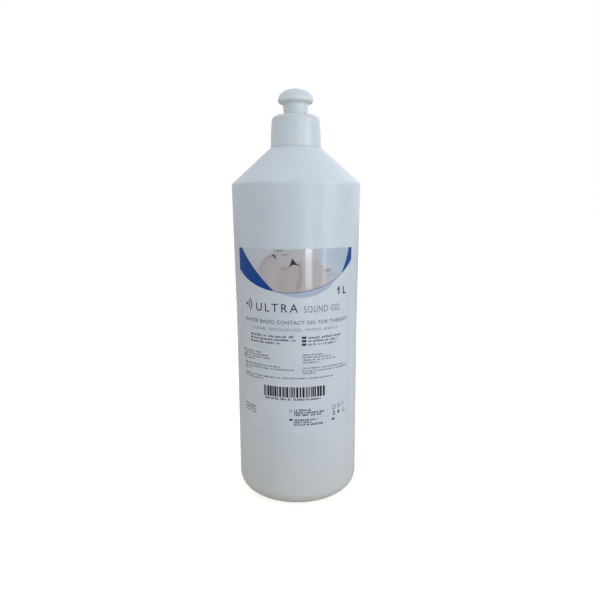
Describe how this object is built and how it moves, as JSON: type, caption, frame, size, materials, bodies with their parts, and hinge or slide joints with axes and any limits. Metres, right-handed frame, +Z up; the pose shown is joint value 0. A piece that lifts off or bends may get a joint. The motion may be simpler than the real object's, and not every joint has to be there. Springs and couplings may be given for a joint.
{
  "type": "ultrasound gel squeeze bottle",
  "caption": "Cylindrical translucent squeeze bottle of ultrasound coupling gel with a conical shoulder, front label, screw cap and push-pull dispensing spout.",
  "frame": {"origin": "centre of the base, on the surface the bottle stands on", "axes": "+Z up along the bottle's axis, -Y towards the front that carries the label"},
  "size_m": [0.0844, 0.0844, 0.2657],
  "materials": {
    "bottle_plastic": "satin",
    "gel": "gloss",
    "label_film": "satin",
    "washer_foam": "matte",
    "cap_plastic": "satin",
    "spout_plastic": "satin"
  },
  "bodies": {
    "bottle": {"bottle": "bottle_plastic", "gel_fill": "gel", "front_label": "label_film"},
    "washer": {"sealing_washer": "washer_foam"},
    "cap": {"screw_cap": "cap_plastic"},
    "spout": {"pull_spout": "spout_plastic"}
  },
  "joints": [
    {"name": "cap_lift", "type": "slide", "parent": "bottle", "child": "washer", "axis": [0, 0, 1], "range_m": [0, 0.0212]},
    {"name": "cap_turn", "type": "hinge", "parent": "washer", "child": "cap", "pos_m": [0, 0, 0.2292], "axis": [0, 0, 1], "range_deg": [0, 1800]},
    {"name": "spout_pull", "type": "slide", "parent": "cap", "child": "spout", "axis": [0, 0, 1], "range_m": [0, 0.0055]}
  ],
  "couplings": [
    {"joint": "cap_lift", "follows": "cap_turn", "m_per_rad": 0.00067376}
  ]
}
